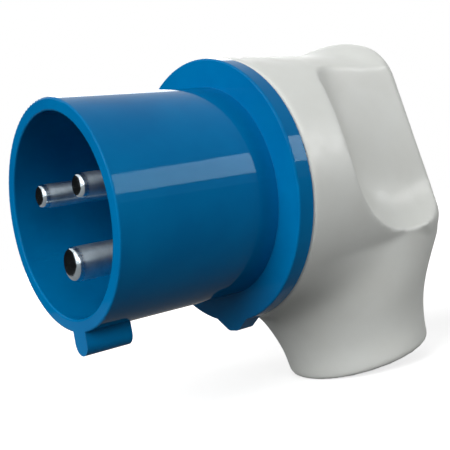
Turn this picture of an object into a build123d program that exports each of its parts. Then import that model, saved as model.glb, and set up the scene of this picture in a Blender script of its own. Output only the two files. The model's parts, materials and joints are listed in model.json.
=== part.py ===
"""Right-angle industrial plug: a blue shroud with three round pins, closed by a grey angled housing.

Millimetres. The origin is the centre of the shroud's front rim, the pins point towards -Y,
the cable entry points down, and the plug is symmetric about X = 0 apart from its screws' slots.
"""
from build123d import *
from math import cos, radians, sin, sqrt, tan
import os

os.makedirs("parts", exist_ok=True)

# Fits
fit = 0.3              # radial play between the large round pieces
pin_play = 0.1         # radial play round pins and screws

# Shroud and flange; each step is how much wider the next piece outwards is
shroud_r = 23.0
shroud_wall = 2.65
shroud_len = 36.7
flange_step = 3.4
flange_t = 4.0
edge_round = 0.4
key_w = 5.0
key_tip_r = 27.6
key_len = 10.2
nose_rise = 2.0
nose_sink = 1.0
nose_tip_half = 1.6
nose_half = 5.9
nose_round = 2.0
spigot_wall = 2.7
spigot_len = 6.0
groove_depth = 1.2
groove_w = 1.8
groove_front = 2.3

# Pin carrier
collar_step = 2.25
collar_t = 3.0
carrier_front_t = 6.3
carrier_rear_step = 0.35
carrier_depth = 16.3

# Pins
pin_tip = 0.6
pin_pitch_r = 9.67
pin_x = 8.4
pin_r = 2.5
pin_edge = 0.3
pin_seat_r = 2.9
pin_barrel_r = 3.6
pin_terminal_r = 3.0
earth_r = 3.5
earth_edge = 0.5
earth_seat_r = 3.9
earth_barrel_r = 4.4
earth_terminal_r = 3.2
barrel_seat = 7.0
terminal_len = 10.5
wire_r = 1.5
wire_depth = 8.0
clamp_back = 4.0

# Retaining plate and small screws
plate_w = 23.4
plate_top = 9.0
plate_bottom = -14.6
plate_t = 2.0
plate_corner = 3.0
plate_screw_z = -0.6
plate_screw_r = 1.4
plate_screw_len = 8.0
plate_head_r = 2.6
plate_head_t = 2.0
clamp_screw_r = 1.0
clamp_screw_reach = 0.6
clamp_head_r = 1.7
clamp_head_t = 1.6
clamp_head_gap = 0.6
slot_w = 0.8
slot_depth = 0.8

# Assembly screws
screw_inset = 3.73
screw_turn = 30.0
screw_r = 1.5
screw_head_r = 2.6
screw_head_t = 2.4
screw_sink = 3.0
screw_grip = 7.0
pilot_len = 9.0

# Housing: barrel, crown, neck; each depth is measured back from the flange's rear face
barrel_draft = 0.25
rim_round = 0.6
elbow_depth = 25.3
belt_z = -17.0
rear_depth = 31.5
rear_r = 23.5
rear_lean = 5.1
rear_flare = 5.6
rear_drop = 22.0
rear_round = 8.0
crown_depth = 41.9
crown_rise = 2.85
crown_r = 24.0
crown_mid = 2.35
cap_rise = 2.15
crown_round = 13.5
crown_front_depth = 27.3
crown_blend = 20.0
neck_lean = 9.6
foot_h = -45.3
foot_round = 1.2
skirt_sink = 0.4
skirt_depth = 32.3
skirt_half = 22.6
skirt_drop = 19.0
under_blend = 10.0

# Finger scoops
scoop_x = 16.8
scoop_splay = 0.115
scoop_front = -3.5
scoop_bottom = -13.5
scoop_corner = 13.0
scoop_blend = 10.5
scoop_draft = 30.3
scoop_reach = 20.0
scoop_len = 53.5
scoop_rise = 58.5

# Wire space and cable gland
chamber_half = 12.0
chamber_top = 21.0
chamber_bottom = -24.0
chamber_depth = 44.3
chamber_corner = 6.0
neck_bore_r = 12.0
neck_bore_top = -20.0
gland_r = 14.4
insert_t = 4.1
insert_sink = 0.3
insert_bore_r = 6.5
insert_mouth = 2.0
insert_hole_r = 1.3
insert_hole_x = 10.8
insert_hole_depth = 2.5
seal_t = 8.0
seal_bore_r = 5.6
seal_mouth = 1.0
slip_t = 1.0
slip_bore_r = 7.0

# Places that follow from the sizes
shroud_in = shroud_r - shroud_wall
carrier_front_r = shroud_in - fit
carrier_rear_r = shroud_in - carrier_rear_step
collar_r = shroud_in + collar_step
counterbore_r = collar_r + fit
spigot_r = counterbore_r + spigot_wall
flange_r = spigot_r + flange_step
barrel_r = flange_r - barrel_draft
skirt_front_r = flange_r - skirt_sink
nose_tip_r = flange_r + nose_rise
nose_root_r = flange_r - nose_sink
crown_z = barrel_r + crown_rise
crown_cap = barrel_r + cap_rise
flange_back = shroud_len + flange_t
carrier_seat = shroud_len + carrier_front_t
carrier_back = shroud_len + carrier_depth
spigot_back = flange_back + spigot_len
barrel_front = shroud_len + barrel_seat
elbow_y = flange_back + elbow_depth
rear_y = flange_back + rear_depth
crown_y = flange_back + crown_depth
crown_front = flange_back + crown_front_depth
skirt_back = flange_back + skirt_depth
chamber_back = flange_back + chamber_depth
terminal_back = carrier_back + terminal_len
clamp_y = terminal_back - clamp_back
pin_z = sqrt(pin_pitch_r**2 - pin_x**2)
plate_back = carrier_back + plate_t
gland_seat_h = foot_h + insert_sink + insert_t + seal_t + slip_t
screw_x = (shroud_in - screw_inset) * cos(radians(screw_turn))
screw_z = -(shroud_in - screw_inset) * sin(radians(screw_turn))
screw_places = ((screw_x, screw_z), (-screw_x, screw_z))

# The neck leans back by neck_lean about the elbow; heights h run along it, up from the foot
rise = Vector(0, -sin(radians(neck_lean)), cos(radians(neck_lean)))
back = Vector(0, cos(radians(neck_lean)), sin(radians(neck_lean)))
outlet = Plane(origin=(0, elbow_y, 0), x_dir=(1, 0, 0), z_dir=rise)

# Shroud: tube, flange, spigot with its groove, key and nose
with BuildPart() as plug_shroud:
    with BuildSketch(Plane.XY) as tube_profile:
        with BuildLine():
            Polyline(
                (shroud_in, 0),
                (shroud_r, 0),
                (shroud_r, shroud_len),
                (flange_r, shroud_len),
                (flange_r, flange_back),
                (spigot_r, flange_back),
                (spigot_r, spigot_back),
                (counterbore_r, spigot_back),
                (counterbore_r, carrier_seat),
                (shroud_in, carrier_seat),
                close=True,
            )
        make_face()
        fillet(tube_profile.vertices().group_by(Axis.Y)[0], edge_round)
        fillet(tube_profile.vertices().group_by(Axis.X)[-1], edge_round)
    revolve(axis=Axis.Y)
    with BuildSketch(Plane.XZ.offset(-(flange_back + groove_front))):
        Circle(spigot_r)
        Circle(spigot_r - groove_depth, mode=Mode.SUBTRACT)
    extrude(amount=-groove_w, mode=Mode.SUBTRACT)
    with BuildSketch(Plane.XZ):
        with Locations((0, -(key_tip_r - key_w / 2))):
            Circle(key_w / 2)
            Rectangle(key_w, key_tip_r - key_w / 2 - shroud_r + shroud_wall / 2, align=(Align.CENTER, Align.MIN))
    extrude(amount=-key_len)
    with BuildSketch(Plane.XZ.offset(-shroud_len)) as nose:
        with BuildLine():
            Polyline(
                (-nose_half, -nose_root_r),
                (-nose_tip_half, -nose_tip_r),
                (nose_tip_half, -nose_tip_r),
                (nose_half, -nose_root_r),
                (0, -shroud_r - shroud_wall / 2),
                close=True,
            )
        make_face()
        fillet(nose.vertices().group_by(Axis.Y)[0], nose_round)
    extrude(amount=-flange_t)
plug_shroud.part.label = "plug_shroud"
export_step(plug_shroud.part, "parts/plug_shroud.step")

# Seal ring in the spigot's groove
with BuildPart() as flange_seal:
    with BuildSketch(Plane.XZ.offset(-(flange_back + groove_front + pin_play))):
        Circle(spigot_r + fit - pin_play)
        Circle(spigot_r - groove_depth + pin_play, mode=Mode.SUBTRACT)
    extrude(amount=-(groove_w - 2 * pin_play))
flange_seal.part.label = "flange_seal"
export_step(flange_seal.part, "parts/flange_seal.step")

# Pin carrier: closes the shroud, with its collar trapped behind the flange
with BuildPart() as pin_carrier:
    with BuildSketch(Plane.XY):
        with BuildLine():
            Polyline(
                (0, shroud_len),
                (carrier_front_r, shroud_len),
                (carrier_front_r, carrier_seat),
                (collar_r, carrier_seat),
                (collar_r, carrier_seat + collar_t),
                (carrier_rear_r, carrier_seat + collar_t),
                (carrier_rear_r, carrier_back),
                (0, carrier_back),
                close=True,
            )
        make_face()
    revolve(axis=Axis.Y)
    with BuildSketch(Plane.XZ.offset(-shroud_len)):
        with Locations((pin_x, pin_z), (-pin_x, pin_z)):
            Circle(pin_seat_r + pin_play)
        with Locations((0, -pin_pitch_r)):
            Circle(earth_seat_r + pin_play)
        with Locations(*screw_places):
            Circle(screw_r + pin_play)
    extrude(amount=-carrier_depth, mode=Mode.SUBTRACT)
    with BuildSketch(Plane.XZ.offset(-barrel_front)):
        with Locations((pin_x, pin_z), (-pin_x, pin_z)):
            Circle(pin_barrel_r + pin_play)
        with Locations((0, -pin_pitch_r)):
            Circle(earth_barrel_r + pin_play)
    extrude(amount=-(carrier_back - barrel_front), mode=Mode.SUBTRACT)
    with BuildSketch(Plane.XZ.offset(-shroud_len)):
        with Locations(*screw_places):
            Circle(screw_head_r + pin_play)
    extrude(amount=-screw_sink, mode=Mode.SUBTRACT)
    with BuildSketch(Plane.XZ.offset(-carrier_back)):
        with Locations((0, plate_screw_z)):
            Circle(plate_screw_r + pin_play)
    extrude(amount=plate_screw_len - plate_t + pin_play, mode=Mode.SUBTRACT)
pin_carrier.part.label = "pin_carrier"
export_step(pin_carrier.part, "parts/pin_carrier.step")

# Pins: contact shank, seat and barrel in the carrier, terminal with a wire hole and a clamping hole
pins = (
    ("line_pin", pin_x, pin_z, pin_r, pin_edge, pin_seat_r, pin_barrel_r, pin_terminal_r, 1),
    ("neutral_pin", -pin_x, pin_z, pin_r, pin_edge, pin_seat_r, pin_barrel_r, pin_terminal_r, 1),
    ("earth_pin", 0, -pin_pitch_r, earth_r, earth_edge, earth_seat_r, earth_barrel_r, earth_terminal_r, -1),
)
for name, x, z, shank_r, edge, seat_r, body_r, end_r, way in pins:
    with BuildPart() as pin:
        with BuildSketch(Plane(origin=(x, 0, z))) as pin_profile:
            with BuildLine():
                Polyline(
                    (0, pin_tip),
                    (shank_r, pin_tip),
                    (shank_r, shroud_len),
                    (seat_r, shroud_len),
                    (seat_r, barrel_front),
                    (body_r, barrel_front),
                    (body_r, carrier_back),
                    (end_r, carrier_back),
                    (end_r, terminal_back),
                    (0, terminal_back),
                    close=True,
                )
            make_face()
            fillet(pin_profile.vertices().group_by(Axis.Y)[0].sort_by(Axis.X)[-1], edge)
        revolve(axis=Axis((x, 0, z), (0, 1, 0)))
        with BuildSketch(Plane.XZ.offset(-terminal_back)):
            with Locations((x, z)):
                Circle(wire_r)
        extrude(amount=wire_depth, mode=Mode.SUBTRACT)
        with BuildSketch(Plane.XY.offset(z)):
            with Locations((x, clamp_y)):
                Circle(clamp_screw_r + pin_play)
        extrude(amount=way * (end_r + 1), mode=Mode.SUBTRACT)
    pin.part.label = name
    export_step(pin.part, f"parts/{name}.step")

# Retaining plate behind the pins' barrels
with BuildPart() as retaining_plate:
    with BuildSketch(Plane.XZ.offset(-carrier_back)):
        with Locations((0, (plate_top + plate_bottom) / 2)):
            RectangleRounded(plate_w, plate_top - plate_bottom, plate_corner)
        with Locations((pin_x, pin_z), (-pin_x, pin_z)):
            Circle(pin_terminal_r + pin_play, mode=Mode.SUBTRACT)
        with Locations((0, -pin_pitch_r)):
            Circle(earth_terminal_r + pin_play, mode=Mode.SUBTRACT)
        with Locations((0, plate_screw_z)):
            Circle(plate_screw_r + pin_play, mode=Mode.SUBTRACT)
    extrude(amount=-plate_t)
retaining_plate.part.label = "retaining_plate"
export_step(retaining_plate.part, "parts/retaining_plate.step")

with BuildPart() as plate_screw:
    with BuildSketch(Plane.XZ.offset(-plate_back)):
        with Locations((0, plate_screw_z)):
            Circle(plate_screw_r)
    extrude(amount=plate_screw_len)
    with BuildSketch(Plane.XZ.offset(-plate_back)):
        with Locations((0, plate_screw_z)):
            Circle(plate_head_r)
    extrude(amount=-plate_head_t)
    with BuildSketch(Plane.XZ.offset(-(plate_back + plate_head_t))):
        with Locations((0, plate_screw_z)):
            Rectangle(2 * plate_head_r, slot_w)
    extrude(amount=slot_depth, mode=Mode.SUBTRACT)
plate_screw.part.label = "plate_screw"
export_step(plate_screw.part, "parts/plate_screw.step")

# Terminal screws, one in the rear end of each pin
with BuildPart() as terminal_screws:
    for name, x, z, shank_r, edge, seat_r, body_r, end_r, way in pins:
        head_z = end_r + clamp_head_gap
        with BuildSketch(Plane.XY.offset(z + way * (wire_r - clamp_screw_reach))):
            with Locations((x, clamp_y)):
                Circle(clamp_screw_r)
        extrude(amount=way * (head_z - wire_r + clamp_screw_reach))
        with BuildSketch(Plane.XY.offset(z + way * head_z)):
            with Locations((x, clamp_y)):
                Circle(clamp_head_r)
        extrude(amount=way * clamp_head_t)
        with BuildSketch(Plane.XY.offset(z + way * (head_z + clamp_head_t))):
            with Locations((x, clamp_y)):
                Rectangle(slot_w, 2 * clamp_head_r)
        extrude(amount=-way * slot_depth, mode=Mode.SUBTRACT)
terminal_screws.part.label = "terminal_screws"
export_step(terminal_screws.part, "parts/terminal_screws.step")

# Assembly screws, put in from inside the shroud
with BuildPart() as assembly_screws:
    with BuildSketch(Plane.XZ.offset(-(shroud_len + screw_sink))):
        with Locations(*screw_places):
            Circle(screw_r)
    extrude(amount=-(carrier_depth - screw_sink + screw_grip))
    with BuildSketch(Plane.XZ.offset(-(shroud_len + screw_sink))):
        with Locations(*screw_places):
            Circle(screw_head_r)
    extrude(amount=screw_head_t)
    with BuildSketch(Plane.XZ.offset(-(shroud_len + screw_sink - screw_head_t))):
        with Locations(*screw_places):
            Rectangle(slot_w, 2 * screw_head_r)
    extrude(amount=-slot_depth, mode=Mode.SUBTRACT)
assembly_screws.part.label = "assembly_screws"
export_step(assembly_screws.part, "parts/assembly_screws.step")

# Rear envelope: a leaning, flared wall with a rounded crown, open towards the barrel
rear_turn = radians(rear_lean)
flare = tan(radians(rear_flare))
with BuildPart() as envelope:
    rear_plane = Plane(origin=(0, rear_y, 0), x_dir=(1, 0, 0), z_dir=(0, -cos(rear_turn), -sin(rear_turn)))
    with BuildSketch(rear_plane) as wall_profile:
        with BuildLine():
            Polyline(
                (0, -rear_drop),
                (rear_r + rear_drop * flare, -rear_drop),
                (rear_r - crown_cap * flare, crown_cap),
                (0, crown_cap),
                close=True,
            )
        make_face()
        fillet(wall_profile.vertices().group_by(Axis.Y)[-1].sort_by(Axis.X)[-1], crown_round)
        fillet(wall_profile.vertices().group_by(Axis.Y)[0].sort_by(Axis.X)[-1], rear_round)
    revolve(axis=Axis((0, rear_y, 0), (0, -sin(rear_turn), cos(rear_turn))))
    with BuildSketch(Plane.XZ.offset(-flange_back)):
        Rectangle(3 * flange_r, 4 * flange_r)
    extrude(amount=-(crown_front - flange_back))

# Finger scoops: a drafted pocket with rounded floor edges, mirrored to the other side
along = (Vector(1, 0, 0) * scoop_splay + back) / sqrt(1 + scoop_splay**2)
outward = (Vector(1, 0, 0) - back * scoop_splay) / sqrt(1 + scoop_splay**2)
floor_plane = Plane(origin=(scoop_x, elbow_y, 0), x_dir=along, z_dir=outward)
with BuildPart() as scoops:
    with BuildSketch(floor_plane) as floor_outline:
        with Locations((scoop_front, scoop_bottom)):
            Rectangle(scoop_len, scoop_rise, align=(Align.MIN, Align.MIN))
        fillet(floor_outline.vertices().group_by(Axis.X)[0].sort_by(Axis.Y)[0], scoop_corner)
    extrude(amount=scoop_reach, taper=-scoop_draft)
    floor = scoops.faces().sort_by(Axis.X)[0]
    corner = floor_plane.from_local_coords(Vector(scoop_front, scoop_bottom, 0))
    fillet(floor.edges().sort_by_distance(corner)[:3], scoop_blend)
    mirror(about=Plane.YZ)

# Neck sections from the foot to the elbow: height, half width, half depth, shift to the rear
neck_sections = (
    (foot_h, 17.35, 17.35, 0.0),
    (-39.9, 17.8, 17.8, 0.0),
    (-35.2, 18.9, 19.1, 0.1),
    (-30.5, 20.7, 21.0, 0.4),
    (-24.2, 22.4, 24.6, 2.9),
    (-17.9, 23.4, 26.2, 4.4),
    (-14.8, 24.0, 25.6, 5.1),
)

# Upper body: barrel and hood inside the envelope, with a soft blend where the hood starts
hood_lift = crown_z - crown_r - crown_mid
hood_half = sqrt(crown_r**2 - hood_lift**2)
with BuildPart() as upper:
    with BuildSketch(Plane.XY) as barrel_profile:
        with BuildLine():
            Polyline(
                (0, flange_back),
                (flange_r, flange_back),
                (flange_r, spigot_back),
                (barrel_r, elbow_y),
                (barrel_r, rear_y + 2 * rear_r),
                (0, rear_y + 2 * rear_r),
                close=True,
            )
        make_face()
        fillet(barrel_profile.vertices().group_by(Axis.Y)[0].sort_by(Axis.X)[-1], rim_round)
    revolve(axis=Axis.Y)
    with BuildSketch(Plane.XZ.offset(-crown_y)):
        with BuildLine():
            hood = ThreePointArc((-hood_half, crown_mid), (0, crown_z), (hood_half, crown_mid))
            Line(hood @ 1, hood @ 0)
        make_face()
    revolve(axis=Axis((0, crown_y, crown_mid), (1, 0, 0)))
    add(envelope.part, mode=Mode.INTERSECT)
    crease_y = crown_y - sqrt((crown_z - crown_mid) ** 2 - (barrel_r - crown_mid) ** 2)
    fillet(upper.edges().sort_by_distance((0, crease_y, barrel_r))[0], crown_blend)

# Neck: one smooth loft from the round foot to the wide elbow
with BuildPart() as neck:
    for height, half_w, half_d, shift in neck_sections:
        with BuildSketch(outlet.offset(height)):
            with Locations((0, shift)):
                Ellipse(half_w, half_d)
    loft()
    fillet(neck.edges().sort_by(Axis.Z)[0], foot_round)

# Skirt: fills the angle between the barrel's underside and the neck, below the belt line
with BuildPart() as skirt:
    with BuildSketch(Plane.XZ.offset(-(flange_back + rim_round))) as skirt_front:
        belt_half = sqrt(skirt_front_r**2 - belt_z**2)
        with BuildLine():
            under = ThreePointArc((belt_half, belt_z), (0, -skirt_front_r), (-belt_half, belt_z))
            Line(under @ 1, under @ 0)
        make_face()
    with BuildSketch(Plane.XZ.offset(-skirt_back)) as skirt_rear:
        with BuildLine():
            under = EllipticalCenterArc((0, belt_z), skirt_half, skirt_drop, start_angle=180, arc_size=180)
            Line(under @ 1, under @ 0)
        make_face()
    loft(sections=[skirt_front.sketch, skirt_rear.sketch])

# Lower body: neck and skirt joined, with a wide soft blend where they meet under the barrel
with BuildPart() as lower:
    add(neck.part)
    add(skirt.part)
    fillet(new_edges(neck.part, skirt.part, combined=lower.part).sort_by(Axis.Z)[0], under_blend)

# Housing: the outer bodies joined, less the scoops and the inside
with BuildPart() as housing:
    add(upper.part)
    add(lower.part)
    add(scoops.part, mode=Mode.SUBTRACT)
    # socket for the spigot and the carrier
    with BuildSketch(Plane.XZ.offset(-flange_back)):
        Circle(spigot_r + fit)
    extrude(amount=-(spigot_len + fit), mode=Mode.SUBTRACT)
    with BuildSketch(Plane.XZ.offset(-flange_back)):
        Circle(carrier_rear_r + fit)
    extrude(amount=-(carrier_back - flange_back), mode=Mode.SUBTRACT)
    # wire space behind the carrier
    with BuildSketch(Plane.XY.offset(chamber_bottom)) as chamber:
        with Locations((0, carrier_back)):
            Rectangle(2 * chamber_half, chamber_back - carrier_back, align=(Align.CENTER, Align.MIN))
        fillet(chamber.vertices().group_by(Axis.Y)[-1], chamber_corner)
    extrude(amount=chamber_top - chamber_bottom, mode=Mode.SUBTRACT)
    # pilot holes for the assembly screws
    with BuildSketch(Plane.XZ.offset(-carrier_back)):
        with Locations(*screw_places):
            Circle(screw_r + pin_play)
    extrude(amount=-pilot_len, mode=Mode.SUBTRACT)
    # neck bore and the gland's seat
    with BuildSketch(outlet.offset(foot_h)):
        Circle(neck_bore_r)
    extrude(amount=neck_bore_top - foot_h, mode=Mode.SUBTRACT)
    with BuildSketch(outlet.offset(foot_h)):
        Circle(gland_r + fit)
    extrude(amount=gland_seat_h - foot_h, mode=Mode.SUBTRACT)
housing.part.label = "housing"
export_step(housing.part, "parts/housing.step")

# Cable gland in the foot: slip ring, seal and screwed insert
with BuildPart() as slip_ring:
    with BuildSketch(outlet.offset(gland_seat_h)):
        Circle(gland_r)
        Circle(slip_bore_r, mode=Mode.SUBTRACT)
    extrude(amount=-slip_t)
slip_ring.part.label = "slip_ring"
export_step(slip_ring.part, "parts/slip_ring.step")

with BuildPart() as gland_seal:
    with BuildSketch(outlet.offset(gland_seat_h - slip_t)):
        Circle(gland_r)
        Circle(seal_bore_r, mode=Mode.SUBTRACT)
    extrude(amount=-seal_t)
    chamfer(gland_seal.edges().filter_by(GeomType.CIRCLE).sort_by(SortBy.RADIUS)[:2], seal_mouth)
gland_seal.part.label = "gland_seal"
export_step(gland_seal.part, "parts/gland_seal.step")

with BuildPart() as gland_insert:
    with BuildSketch(outlet.offset(foot_h + insert_sink)):
        Circle(gland_r)
        Circle(insert_bore_r, mode=Mode.SUBTRACT)
    extrude(amount=insert_t)
    mouth = gland_insert.edges().filter_by(GeomType.CIRCLE).sort_by(SortBy.RADIUS)[:2].sort_by(Axis.Z)[0]
    fillet(mouth, insert_mouth)
    with BuildSketch(outlet.offset(foot_h + insert_sink)):
        with Locations((insert_hole_x, 0), (-insert_hole_x, 0)):
            Circle(insert_hole_r)
    extrude(amount=insert_hole_depth, mode=Mode.SUBTRACT)
gland_insert.part.label = "gland_insert"
export_step(gland_insert.part, "parts/gland_insert.step")
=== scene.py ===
# %% [markdown]
# # A right-angle industrial plug
# The plug has a glossy blue shroud with three round pins inside it, and a light grey housing that
# turns the cable entry down. The shapes come from the CAD model, which is loaded as a fixed frame, and
# only the housing and the three pins get softer copies. Everything else that Blender does is what the
# pieces are made of, the light and the camera.

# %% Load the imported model
import json
from math import radians

import bpy
from mathutils import Matrix, Vector


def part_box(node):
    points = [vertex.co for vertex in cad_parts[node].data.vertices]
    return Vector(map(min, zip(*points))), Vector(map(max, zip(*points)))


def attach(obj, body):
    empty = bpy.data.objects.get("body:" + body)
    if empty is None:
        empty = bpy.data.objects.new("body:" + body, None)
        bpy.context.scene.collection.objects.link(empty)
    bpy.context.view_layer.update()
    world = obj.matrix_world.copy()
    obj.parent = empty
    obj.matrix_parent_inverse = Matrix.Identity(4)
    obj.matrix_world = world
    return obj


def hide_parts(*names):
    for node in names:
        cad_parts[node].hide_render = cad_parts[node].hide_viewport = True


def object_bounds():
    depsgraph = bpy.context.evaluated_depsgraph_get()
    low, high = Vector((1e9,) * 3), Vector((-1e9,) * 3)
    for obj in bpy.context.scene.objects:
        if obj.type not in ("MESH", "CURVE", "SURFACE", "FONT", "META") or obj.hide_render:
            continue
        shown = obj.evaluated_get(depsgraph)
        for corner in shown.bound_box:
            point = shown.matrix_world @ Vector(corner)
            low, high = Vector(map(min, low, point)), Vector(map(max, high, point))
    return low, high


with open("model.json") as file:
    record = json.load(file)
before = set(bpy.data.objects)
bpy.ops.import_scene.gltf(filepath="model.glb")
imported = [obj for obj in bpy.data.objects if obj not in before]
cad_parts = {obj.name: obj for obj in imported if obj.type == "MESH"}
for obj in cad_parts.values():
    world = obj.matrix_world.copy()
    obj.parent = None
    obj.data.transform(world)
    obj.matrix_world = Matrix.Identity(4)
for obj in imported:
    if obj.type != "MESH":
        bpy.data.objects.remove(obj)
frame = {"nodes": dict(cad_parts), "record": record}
cad_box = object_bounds()
pieces = frame["nodes"]
print("pieces:", ", ".join(sorted(pieces)))
print("size in mm:", [round(1000 * side, 1) for side in cad_box[1] - cad_box[0]])

# %% [markdown]
# ## Camera
# The photographer stands in front and to the right of the pins, level with the plug, and the picture
# is turned a little, so that the plug seems to hang with its nose down. The camera could be placed by
# eye. Its place here was fitted to the round rims of the shroud and the flange, because the width and
# tilt of their ellipses say where they are seen from. A camera in Blender looks along its own -Z, so it
# is aimed along a line first and then rolled about that line.

# %% Camera
camera_place = Vector((0.1457016, -0.0697671, -0.0046037))
view_line = Vector((-0.80005036, 0.59969734, -0.01680833))
camera_roll = radians(-10.13)
lens_mm = 65.4
sensor_mm = 36.0
nearest_seen = 0.005

camera_data = bpy.data.cameras.new("camera")
camera_data.lens = lens_mm
camera_data.sensor_width = sensor_mm
camera_data.clip_start = nearest_seen
camera = bpy.data.objects.new("camera", camera_data)
bpy.context.scene.collection.objects.link(camera)
camera.matrix_world = (
    Matrix.Translation(camera_place)
    @ view_line.to_track_quat("-Z", "Y").to_matrix().to_4x4()
    @ Matrix.Rotation(camera_roll, 4, "Z")
)
bpy.context.scene.camera = camera
print("camera axes:", [[round(v, 4) for v in row] for row in camera.matrix_world.to_3x3()])

# %% [markdown]
# ## Building a material from nodes
# Moulded plastic is never one flat colour. Its colour drifts a little from place to place, its surface
# carries the fine grain of the mould, and its edges are rubbed lighter by handling. All this could be
# painted on images, but noise from nodes needs no file, has no seams and stays sharp in a close view.
# Small helpers add and join the nodes, so that each finish below reads as a short recipe. All patterns
# use the Object coordinates, which are metres in this frame, so a scale of 1000 makes patches of about
# a millimetre.


# %% Helpers for node materials
def new_finish(name):
    """A new material, its node tree and its shader."""
    material = bpy.data.materials.new(name)
    material.use_nodes = True
    tree = material.node_tree
    return material, tree, tree.nodes["Principled BSDF"]


def node(tree, kind, **settings):
    """Adds one node. Settings with a capital letter or a number are its inputs."""
    made = tree.nodes.new(kind)
    for key, value in settings.items():
        if key[0].isupper():
            made.inputs[key.replace("_", " ")].default_value = value
        else:
            setattr(made, key, value)
    return made


def join(tree, start, end):
    """Links a node's output to another node's input."""
    tree.links.new(start, end)


def patches(tree, scale, detail=3.0, stretch=(1, 1, 1)):
    """Soft noise from 0 to 1 in object space, longer along an axis where stretch is small."""
    place = node(tree, "ShaderNodeTexCoord")
    mapping = node(tree, "ShaderNodeMapping", Scale=stretch)
    noise = node(tree, "ShaderNodeTexNoise", Scale=scale, Detail=detail, Roughness=0.55)
    join(tree, place.outputs["Object"], mapping.inputs["Vector"])
    join(tree, mapping.outputs["Vector"], noise.inputs["Vector"])
    return noise.outputs["Fac"]


def remap(tree, value, low, high, start=0.35, end=0.65):
    """Turns noise between start and end into a value between low and high."""
    ranged = node(tree, "ShaderNodeMapRange")
    for name, number in (("From Min", start), ("From Max", end), ("To Min", low), ("To Max", high)):
        ranged.inputs[name].default_value = number
    join(tree, value, ranged.inputs["Value"])
    return ranged.outputs["Result"]


def blend(tree, share, first, second):
    """Mixes two colours, each a tuple or another node's output, by a share."""
    mix = node(tree, "ShaderNodeMix", data_type="RGBA")
    for slot, colour in (("A", first), ("B", second)):
        socket = [s for s in mix.inputs if s.name == slot and s.type == "RGBA"][0]
        if isinstance(colour, tuple):
            socket.default_value = (*colour, 1.0)
        else:
            join(tree, colour, socket)
    join(tree, share, mix.inputs["Factor"])
    return [s for s in mix.outputs if s.type == "RGBA"][0]


def times(tree, first, second):
    """Multiplies two values."""
    product = node(tree, "ShaderNodeMath", operation="MULTIPLY")
    join(tree, first, product.inputs[0])
    join(tree, second, product.inputs[1])
    return product.outputs["Value"]


def worn_edges(tree, radius, least=0.01, most=0.12):
    """1 on edges and 0 on flat parts, from how far a rounded normal leaves the real one."""
    rounded = node(tree, "ShaderNodeBevel", samples=6, Radius=radius)
    real = node(tree, "ShaderNodeNewGeometry")
    dot = node(tree, "ShaderNodeVectorMath", operation="DOT_PRODUCT")
    join(tree, rounded.outputs["Normal"], dot.inputs[0])
    join(tree, real.outputs["Normal"], dot.inputs[1])
    return remap(tree, dot.outputs["Value"], 0.0, 1.0, start=1.0 - least, end=1.0 - most)


def relief(tree, shader, *layers):
    """Stacks bumps, each a height and its depth in metres, on the shader's normal."""
    last = None
    for height, depth in layers:
        bump = node(tree, "ShaderNodeBump", Strength=1.0, Distance=depth)
        join(tree, height, bump.inputs["Height"])
        if last:
            join(tree, last.outputs["Normal"], bump.inputs["Normal"])
        last = bump
    join(tree, last.outputs["Normal"], shader.inputs["Normal"])


# %% [markdown]
# ## Blue shroud
# The shroud is moulded in a tough, smooth plastic with a high gloss, so it mirrors the studio lamps as
# clear stripes. Its specular level is low, which keeps the blue deep between those stripes. The colour
# drifts by a few per cent, the gloss is a little duller in patches, and the rims are rubbed paler where
# the plug has been pushed into sockets. Two faint bumps break up the stripes: the wide, shallow sink
# marks of a thick moulding and a very fine grain. A clear coat over a duller base would shine as much,
# but a moulding has only one surface, so one is enough here.

# %% Blue gloss plastic
blue_deep = (0.0, 0.142, 0.365)
blue_light = (0.0, 0.168, 0.412)
blue_rubbed = (0.035, 0.235, 0.5)
blue_drift_scale = 60.0
blue_edge_width = 0.0003
blue_rub_scale = 900.0
blue_rub_range = (0.05, 0.4)
blue_gloss_scale = 220.0
blue_roughness = (0.03, 0.08)
blue_specular = 0.06
blue_specular_tint = (0.5, 0.85, 1.0, 1.0)
sink_scale = 180.0
sink_detail = 1.0
sink_depth = 0.00001
blue_grain_scale = 5000.0
blue_grain_depth = 0.0000012

shroud_blue, tree, shader = new_finish("shroud_blue")
drift = remap(tree, patches(tree, blue_drift_scale), 0.0, 1.0)
body_blue = blend(tree, drift, blue_deep, blue_light)
edges = worn_edges(tree, blue_edge_width)
rub = times(tree, edges, remap(tree, patches(tree, blue_rub_scale), *blue_rub_range))
join(tree, blend(tree, rub, body_blue, blue_rubbed), shader.inputs["Base Color"])
join(tree, remap(tree, patches(tree, blue_gloss_scale), *blue_roughness), shader.inputs["Roughness"])
shader.inputs["Specular IOR Level"].default_value = blue_specular
shader.inputs["Specular Tint"].default_value = blue_specular_tint
sinks = (patches(tree, sink_scale, sink_detail), sink_depth)
grain = (patches(tree, blue_grain_scale), blue_grain_depth)
relief(tree, shader, sinks, grain)
print("made", shroud_blue.name)

# %% [markdown]
# ## Grey housing
# The housing comes from a mould with a fine spark-eroded grain, so it is semi-matte and its highlights
# are wide and soft. One layer of noise would do from afar. There are two, one at about a third of a
# millimetre and one three times finer, so that the grain also holds in a close view. The light grey
# drifts only weakly between a warmer and a cooler shade, and a little dust lies on it in places.

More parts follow.
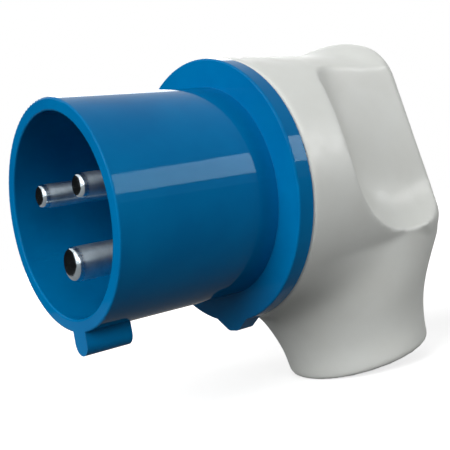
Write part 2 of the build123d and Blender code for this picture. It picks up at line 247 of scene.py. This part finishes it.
# %% Light grey plastic
grey_warm = (0.745, 0.76, 0.725)
grey_cool = (0.78, 0.80, 0.77)
grey_rubbed = (0.87, 0.88, 0.86)
grey_soiled = (0.64, 0.64, 0.60)
grey_drift_scale = 45.0
dust_scale = 130.0
dust_detail = 6.0
dust_most = 0.16
dust_start = 0.5
dust_end = 0.78
grey_edge_width = 0.0007
grey_rub_scale = 700.0
grey_rub_range = (0.1, 0.7)
grey_sheen_scale = 260.0
grey_roughness = (0.36, 0.48)
grey_specular = 0.2
grain_detail = 2.0
coarse_grain_scale = 2600.0
coarse_grain_depth = 0.000022
fine_grain_scale = 8000.0
fine_grain_depth = 0.000006

housing_grey, tree, shader = new_finish("housing_grey")
drift = remap(tree, patches(tree, grey_drift_scale), 0.0, 1.0)
body_grey = blend(tree, drift, grey_warm, grey_cool)
specks = patches(tree, dust_scale, dust_detail)
dust = remap(tree, specks, 0.0, dust_most, start=dust_start, end=dust_end)
body_grey = blend(tree, dust, body_grey, grey_soiled)
edges = worn_edges(tree, grey_edge_width)
rub = times(tree, edges, remap(tree, patches(tree, grey_rub_scale), *grey_rub_range))
join(tree, blend(tree, rub, body_grey, grey_rubbed), shader.inputs["Base Color"])
join(tree, remap(tree, patches(tree, grey_sheen_scale), *grey_roughness), shader.inputs["Roughness"])
shader.inputs["Specular IOR Level"].default_value = grey_specular
coarse_grain = (patches(tree, coarse_grain_scale, grain_detail), coarse_grain_depth)
fine_grain = (patches(tree, fine_grain_scale, grain_detail), fine_grain_depth)
relief(tree, shader, coarse_grain, fine_grain)
print("made", housing_grey.name)

# %% [markdown]
# ## Inner plastics
# The carrier that holds the pins and the plate behind it are dark moulded pieces. The gland's insert and
# slip ring are a plain mid grey. They could be two recipes, but they differ only in colour, roughness and
# grain, so one function makes both.


# %% Dark and mid grey plastic
moulded_drift_scale = 120.0
moulded_drift_detail = 4.0
moulded_edge_width = 0.0003
moulded_rub_scale = 900.0
moulded_rub_range = (0.2, 0.9)
moulded_sheen_scale = 400.0
moulded_specular = 0.35
moulded_grain_detail = 3.0
moulded_grain_depth = 0.000008


def moulded(name, first, second, rubbed, roughness, grain_scale):
    """A plain moulded plastic with colour drift, rubbed edges and a fine grain."""
    material, tree, shader = new_finish(name)
    drift = remap(tree, patches(tree, moulded_drift_scale, moulded_drift_detail), 0.0, 1.0)
    edges = worn_edges(tree, moulded_edge_width)
    rub = times(tree, edges, remap(tree, patches(tree, moulded_rub_scale), *moulded_rub_range))
    body = blend(tree, drift, first, second)
    join(tree, blend(tree, rub, body, rubbed), shader.inputs["Base Color"])
    join(tree, remap(tree, patches(tree, moulded_sheen_scale), *roughness), shader.inputs["Roughness"])
    shader.inputs["Specular IOR Level"].default_value = moulded_specular
    grain = patches(tree, grain_scale, moulded_grain_detail)
    relief(tree, shader, (grain, moulded_grain_depth))
    print("made", name)
    return material


black_deep = (0.012, 0.012, 0.013)
black_light = (0.022, 0.022, 0.024)
black_rubbed = (0.07, 0.07, 0.07)
black_roughness = (0.38, 0.52)
carrier_black = moulded(
    "carrier_black", black_deep, black_light, black_rubbed, black_roughness, grain_scale=3500.0
)

mid_grey_deep = (0.13, 0.135, 0.14)
mid_grey_light = (0.17, 0.175, 0.18)
mid_grey_rubbed = (0.28, 0.28, 0.28)
mid_grey_roughness = (0.4, 0.55)
gland_grey = moulded(
    "gland_grey", mid_grey_deep, mid_grey_light, mid_grey_rubbed, mid_grey_roughness, grain_scale=3000.0
)

# %% [markdown]
# ## Nickel-plated pins
# The pins are turned from brass and plated with nickel. Turning leaves fine rings round the pin, so the
# bump uses noise that is squeezed along Y, the pins' own direction. Pushing the pins into sockets leaves
# long faint rubs along Y, which are the same noise stretched the other way. Rings too fine for a bump
# would draw each highlight out over the pin's length, and the shader's anisotropy does that for them.
# The ends are polished by use, so their roughness falls to a third there. The colour has more blue than
# red: partly a cool grey of the plating, and partly a painted reflection of the blue shroud round the
# pins.

# %% Nickel
# the blue in both nickel colours is partly a painted reflection of the blue shroud
nickel_dark_and_painted_blue = (0.52, 0.62, 0.68)
nickel_light_and_painted_blue = (0.72, 0.82, 0.88)
ring_scale = 500.0
ring_detail = 2.0
ring_stretch = (0.05, 12.0, 0.05)
ring_depth = 0.0000025
rub_scale = 2600.0
rub_detail = 3.0
rub_stretch = (1.0, 0.02, 1.0)
rub_depth = 0.0000012
tarnish_scale = 320.0
tarnish_detail = 5.0
nickel_roughness = (0.33, 0.38)
polished_share = 0.3
polished_until = 0.0009
plain_from = 0.0026
brushing = 0.9
quarter_turn = 0.25

pin_nickel, tree, shader = new_finish("pin_nickel")
shader.inputs["Metallic"].default_value = 1.0
rings = patches(tree, ring_scale, ring_detail, stretch=ring_stretch)
rubs = patches(tree, rub_scale, rub_detail, stretch=rub_stretch)
tarnish = remap(tree, patches(tree, tarnish_scale, tarnish_detail), 0.0, 1.0)
join(tree, blend(tree, tarnish, nickel_dark_and_painted_blue, nickel_light_and_painted_blue), shader.inputs["Base Color"])
place = node(tree, "ShaderNodeTexCoord")
axes = node(tree, "ShaderNodeSeparateXYZ")
join(tree, place.outputs["Object"], axes.inputs["Vector"])
polish = remap(tree, axes.outputs["Y"], polished_share, 1.0, start=polished_until, end=plain_from)
join(tree, times(tree, remap(tree, rubs, *nickel_roughness), polish), shader.inputs["Roughness"])
shader.inputs["Anisotropic"].default_value = brushing
shader.inputs["Anisotropic Rotation"].default_value = quarter_turn
around = node(tree, "ShaderNodeTangent", direction_type="RADIAL", axis="Y")
join(tree, around.outputs["Tangent"], shader.inputs["Tangent"])
relief(tree, shader, (rings, ring_depth), (rubs, rub_depth))
print("made", pin_nickel.name)

# %% [markdown]
# ## Zinc-plated screws and rubber seals
# The screws are small and bright, with a faint straw tint from their plating and a coarse turned finish.
# The seals are black rubber: a dull surface with fine pits and a trace of pale dust. The screws could
# share the pins' nickel, but nobody polishes them, so theirs is a recipe of its own.

# %% Zinc and rubber
zinc_cool = (0.52, 0.53, 0.55)
zinc_straw = (0.6, 0.56, 0.46)
zinc_tint_scale = 500.0
zinc_tint_detail = 4.0
zinc_sheen_scale = 1500.0
zinc_roughness = (0.24, 0.42)
zinc_turning_scale = 4000.0
zinc_turning_detail = 2.0
zinc_turning_depth = 0.000006

screw_steel, tree, shader = new_finish("screw_steel")
shader.inputs["Metallic"].default_value = 1.0
tint = remap(tree, patches(tree, zinc_tint_scale, zinc_tint_detail), 0.0, 1.0)
join(tree, blend(tree, tint, zinc_cool, zinc_straw), shader.inputs["Base Color"])
join(tree, remap(tree, patches(tree, zinc_sheen_scale), *zinc_roughness), shader.inputs["Roughness"])
relief(tree, shader, (patches(tree, zinc_turning_scale, zinc_turning_detail), zinc_turning_depth))
print("made", screw_steel.name)

rubber_black = (0.016, 0.016, 0.016)
rubber_dusty = (0.045, 0.044, 0.042)
rubber_dust_scale = 350.0
rubber_dust_detail = 6.0
rubber_dust_start = 0.4
rubber_dust_end = 0.75
rubber_sheen_scale = 800.0
rubber_roughness = (0.62, 0.82)
rubber_specular = 0.3
rubber_pit_scale = 2600.0
rubber_pit_detail = 3.0
rubber_pit_depth = 0.000015

seal_rubber, tree, shader = new_finish("seal_rubber")
specks = patches(tree, rubber_dust_scale, rubber_dust_detail)
dust = remap(tree, specks, 0.0, 1.0, start=rubber_dust_start, end=rubber_dust_end)
join(tree, blend(tree, dust, rubber_black, rubber_dusty), shader.inputs["Base Color"])
join(tree, remap(tree, patches(tree, rubber_sheen_scale), *rubber_roughness), shader.inputs["Roughness"])
shader.inputs["Specular IOR Level"].default_value = rubber_specular
relief(tree, shader, (patches(tree, rubber_pit_scale, rubber_pit_detail), rubber_pit_depth))
print("made", seal_rubber.name)

# %% [markdown]
# ## Which piece has which finish
# The CAD record names a finish for every piece. A CAD node keeps its mesh, and only the material in its
# first slot is exchanged for the recipe of the same name. That could be said piece by piece, but a loop
# over the record can't forget one.

# %% Give every piece its finish
finishes = {
    "shroud_blue": shroud_blue,
    "housing_grey": housing_grey,
    "carrier_black": carrier_black,
    "gland_grey": gland_grey,
    "pin_nickel": pin_nickel,
    "screw_steel": screw_steel,
    "seal_rubber": seal_rubber,
}
for part in frame["record"]["subparts"]:
    piece = pieces[part["node"]]
    piece.data.materials.clear()
    piece.data.materials.append(finishes[part["material_slot"]])
    print(part["node"], "is", part["material_slot"])

# %% [markdown]
# ## Moulded edges of the housing
# A mould leaves no sharp edge on a hand grip: the rims of the finger scoops roll over, and the skirt
# under the barrel flows into the neck. The CAD housing has the right form but crisp edges there. A bevel
# could round them, but it breaks where the rims meet at a thin angle. So a copy is cut into small even
# faces by a voxel remesh, and then relaxed, which rounds every edge a little. Each relaxing has a weight
# for every point, so that it acts only where it is wanted.


# %% Even faces and soft edges
relax_factor = 0.5


def evaluated(piece):
    """The piece's mesh with its modifiers applied, as a mesh of its own."""
    bpy.context.view_layer.update()
    graph = bpy.context.evaluated_depsgraph_get()
    return bpy.data.meshes.new_from_object(piece.evaluated_get(graph))


def ramp(value, start, end):
    """0 before start, 1 after end and a straight line between them."""
    return min(1.0, max(0.0, (value - start) / (end - start)))


def softened(name, face_size, *relaxings):
    """A copy of a CAD piece with even faces, relaxed by each weight function as many times as it says."""
    made = bpy.data.objects.new(name + "_soft", pieces[name].data.copy())
    bpy.context.scene.collection.objects.link(made)
    remesh = made.modifiers.new("even", "REMESH")
    remesh.mode = "VOXEL"
    remesh.voxel_size = face_size
    made.data = evaluated(made)
    made.modifiers.clear()
    for number, (weight, rounds) in enumerate(relaxings):
        group = made.vertex_groups.new(name=f"soft_{number}")
        for vertex in made.data.vertices:
            group.add([vertex.index], weight(vertex.co), "REPLACE")
        relax = made.modifiers.new(f"relax_{number}", "SMOOTH")
        relax.factor = relax_factor
        relax.iterations = rounds
        relax.vertex_group = group.name
    made.data = evaluated(made)
    made.modifiers.clear()
    made.data.shade_smooth()
    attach(made, "root")
    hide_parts(name)
    print(made.name, "has", len(made.data.polygons), "faces")
    return made


def dress(piece, finish):
    """Gives a new piece its finish."""
    piece.data.materials.clear()
    piece.data.materials.append(finish)


# %% [markdown]
# ## Where the housing is relaxed
# Three relaxings follow one another. A long one smooths the hollow under the barrel, a shorter one
# evens out the floors of the finger scoops, and a brief one rolls every rim over. Near the foot and the
# front rim the last weight is almost nothing, so that those ends stay crisp and in place.

# %% Housing with rolled rims
elbow = Vector((0.0, 0.066, 0.0))
neck_rise = Vector((0.0, -0.16677, 0.98600))
foot_height = -0.0453
front_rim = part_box("housing")[0].y
least_weight = 0.02
end_zone = (0.0004, 0.0024)
hollow_depth = (0.0185, 0.0225)
hollow_above_foot = (0.004, 0.012)
hollow_behind_rim = (0.001, 0.006)
scoop_sides = (0.0150, 0.0160, 0.0205, 0.0230)
scoop_length = (0.058, 0.062, 0.077, 0.081)
scoop_height = (-0.019, -0.016, 0.009, 0.014)
housing_face = 0.0006
hollow_rounds = 400
scoop_rounds = 180
rim_rounds = 7


def above_foot(place):
    """How far a place is above the foot's end, along the leaning neck."""
    return (place - elbow).dot(neck_rise) - foot_height


def band(value, start, full, fade, end):
    """0 before start, 1 from full to fade and 0 again after end."""
    return ramp(value, start, full) * ramp(-value, -end, -fade)


def under_barrel(place):
    """1 in the hollow between the skirt and the neck."""
    below = ramp(-place.z, *hollow_depth)
    behind = ramp(place.y - front_rim, *hollow_behind_rim)
    return below * ramp(above_foot(place), *hollow_above_foot) * behind


def in_scoops(place):
    """1 on the floors of the finger scoops, inside their rims."""
    across = band(abs(place.x), *scoop_sides)
    return across * band(place.y, *scoop_length) * band(place.z, *scoop_height)


def away_from_ends(place):
    """Almost nothing at the foot and at the front rim, and 1 from 2 mm inside them."""
    inside = ramp(min(above_foot(place), place.y - front_rim), *end_zone)
    return least_weight + (1.0 - least_weight) * inside


housing_soft = softened(
    "housing",
    housing_face,
    (under_barrel, hollow_rounds),
    (in_scoops, scoop_rounds),
    (away_from_ends, rim_rounds),
)
dress(housing_soft, housing_grey)

# %% [markdown]
# ## Rounded ends of the pins
# A contact pin has a well rounded end, so that it finds its hole. The same relaxing, on much smaller
# faces and only at the last millimetres, turns the small CAD rounding into that blunt nose. A brief one
# on the whole pin then takes away the steps that the remesh leaves on its round side.


# %% Pins with blunt noses
nose_full = 0.0025
nose_end = 0.0045
pin_face = 0.00025
nose_rounds = 40
side_rounds = 16


def at_the_nose(place):
    """1 on the last 2 mm of a pin, fading over the next 2 mm."""
    return ramp(-place.y, -nose_end, -nose_full)


def everywhere(place):
    """1 at every place."""
    return 1.0


for name in ("line_pin", "neutral_pin", "earth_pin"):
    pin_soft = softened(name, pin_face, (at_the_nose, nose_rounds), (everywhere, side_rounds))
    dress(pin_soft, pin_nickel)

# %% [markdown]
# ## Floor and white surroundings
# The photograph is cut out on pure white. A pale floor under the foot and a pale world give the same look
# from every side. For the camera and in reflections both are white, through the Light Path node,
# and for all other light they stay dimmer, so that the dark side of the plug keeps its depth. More light
# would make them white too, but it would also bleach the plug. In gloss the floor is dimmer than to the
# camera everywhere: a painted shadow of the plug, which stands over the floor there.

# %% Floor and world
white = (1.0, 1.0, 1.0, 1.0)
floor_half = 1.5
floor_seen = (0.62, 0.62, 0.62)
floor_unseen = (0.09, 0.09, 0.09)
# painted shadow: in gloss the floor shows only this share of its brightness, for the plug's shadow
floor_gloss_painted_shadow = 0.2
glow_near = 0.72
glow_far = 1.0
glow_start = 0.07
glow_end = 0.2
ambient = 0.04


def seen_directly(tree, in_gloss=1.0):
    """1 for rays that show the surroundings from the camera or through glass, and in_gloss for gloss."""
    path = node(tree, "ShaderNodeLightPath")
    total = remap(tree, path.outputs["Is Glossy Ray"], 0.0, in_gloss, start=0.0, end=1.0)
    for name in ("Is Camera Ray", "Is Transmission Ray"):
        larger = node(tree, "ShaderNodeMath", operation="MAXIMUM")
        join(tree, total, larger.inputs[0])
        join(tree, path.outputs[name], larger.inputs[1])
        total = larger.outputs["Value"]
    return total


def square(name, half):
    """A flat square mesh round its own origin, lying in x and y."""
    made = bpy.data.meshes.new(name)
    ends = ((-1, -1), (1, -1), (1, 1), (-1, 1))
    made.from_pydata([(half * x, half * y, 0.0) for x, y in ends], [], [(0, 1, 2, 3)])
    return made


world = bpy.data.worlds.new("white_surroundings")
world.use_nodes = True
bpy.context.scene.world = world
tree = world.node_tree
background = tree.nodes["Background"]
background.inputs["Color"].default_value = white
strength = remap(tree, seen_directly(tree), ambient, 1.0, start=0.0, end=1.0)
join(tree, strength, background.inputs["Strength"])

middle = (cad_box[0] + cad_box[1]) / 2
floor_mesh = square("floor", floor_half)
floor = bpy.data.objects.new("floor", floor_mesh)
floor.location = (middle.x, middle.y, cad_box[0].z)
bpy.context.scene.collection.objects.link(floor)

floor_white, tree, shader = new_finish("floor_white")
# the floor's gloss share is a painted shadow of the plug
seen = seen_directly(tree, in_gloss=floor_gloss_painted_shadow)
join(tree, blend(tree, seen, floor_unseen, floor_seen), shader.inputs["Base Color"])
shader.inputs["Roughness"].default_value = 1.0
shader.inputs["Specular IOR Level"].default_value = 0.0
shader.inputs["Emission Color"].default_value = white
place = node(tree, "ShaderNodeTexCoord")
away = node(tree, "ShaderNodeVectorMath", operation="LENGTH")
join(tree, place.outputs["Object"], away.inputs[0])
glow = remap(tree, away.outputs["Value"], glow_near, glow_far, start=glow_start, end=glow_end)
join(tree, times(tree, glow, seen), shader.inputs["Emission Strength"])
floor_mesh.materials.append(floor_white)
print("floor at", round(1000 * cad_box[0].z, 1), "mm")

# %% [markdown]
# ## Studio light
# One bright sky would be simpler, but it leaves no stripe and no dark side, so there are several lamps.
# The broad shading comes from a large key lamp in front and above. A weaker one low in front lights the
# neck and the rim of the shroud, one from the side lights the grip, and one from behind keeps the back
# readable. The long stripe on the shroud is the mirror image of a low window behind and to the right,
# so that lamp stands where a mirror at the stripe would point. It is made of two: one gives its light and
# the other, just in front of it, its mirror image, so that each can have the strength that it needs.


# %% Lamps
def lamp(name, towards, distance, size, power):
    """A rectangular area lamp in a direction from the plug, with its size in metres and power in watts."""
    data = bpy.data.lights.new(name, "AREA")
    data.shape = "RECTANGLE"
    data.size, data.size_y = size
    data.energy = power
    made = bpy.data.objects.new(name, data)
    bpy.context.scene.collection.objects.link(made)
    made.location = middle + Vector(towards).normalized() * distance
    made.rotation_euler = (-Vector(towards)).to_track_quat("-Z", "Y").to_euler()
    print(name, "at", [round(v, 2) for v in made.location], "of", power, "W")
    return made


room = 1.1
lamp("key_lamp", towards=(0.22, -0.83, 0.52), distance=room, size=(0.8, 0.8), power=9.8)
low_lamp = lamp("low_lamp", towards=(0.1, -0.99, 0.05), distance=room, size=(0.6, 0.6), power=4.2)
low_lamp.visible_glossy = False
lamp("side_lamp", towards=(0.85, -0.2, 0.35), distance=room, size=(0.7, 0.7), power=3.1)
lamp("back_lamp", towards=(-0.8, 0.58, 0.16), distance=room, size=(0.8, 0.8), power=5.0)

window = {"towards": (0.729, 0.611, 0.309), "size": (0.46, 0.28)}
window_lamp = lamp("window_lamp", distance=1.0, power=2.4, **window)
window_lamp.visible_glossy = False
stripe_lamp = lamp("stripe_lamp", distance=0.98, power=7.2, **window)
stripe_lamp.visible_diffuse = False

# %% [markdown]
# ## A dark card for the metal
# Polished metal shows what stands around it. Photographers put a dark card where a pin's flat end would
# mirror the white room, and the metal turns deep and gets clear edges. The card takes part in gloss
# alone, so it throws no shadow and never shows itself.

# %% Dark card
card_half = 0.22
card_place = Vector((-0.315, -0.15, 0.0))
card_shade = (0.02, 0.02, 0.02, 1.0)
card_mesh = square("dark_card", card_half)
card = bpy.data.objects.new("dark_card", card_mesh)
card.location = card_place
card.rotation_euler = card_place.to_track_quat("Z", "Y").to_euler()
bpy.context.scene.collection.objects.link(card)
for kind in ("camera", "diffuse", "transmission", "volume_scatter", "shadow"):
    setattr(card, "visible_" + kind, False)

card_black, tree, shader = new_finish("card_black")
shader.inputs["Base Color"].default_value = card_shade
shader.inputs["Roughness"].default_value = 1.0
shader.inputs["Specular IOR Level"].default_value = 0.0
card_mesh.materials.append(card_black)
print("card", round(2000 * card_half), "mm wide")

# %% [markdown]
# ## Colours as they are written
# A film-like view would soften the whites, but it shifts every colour. The Standard view shows a colour
# about as the recipes give it. Nothing else in the view is changed.

# %% View and the end
bpy.context.scene.view_settings.view_transform = "Standard"
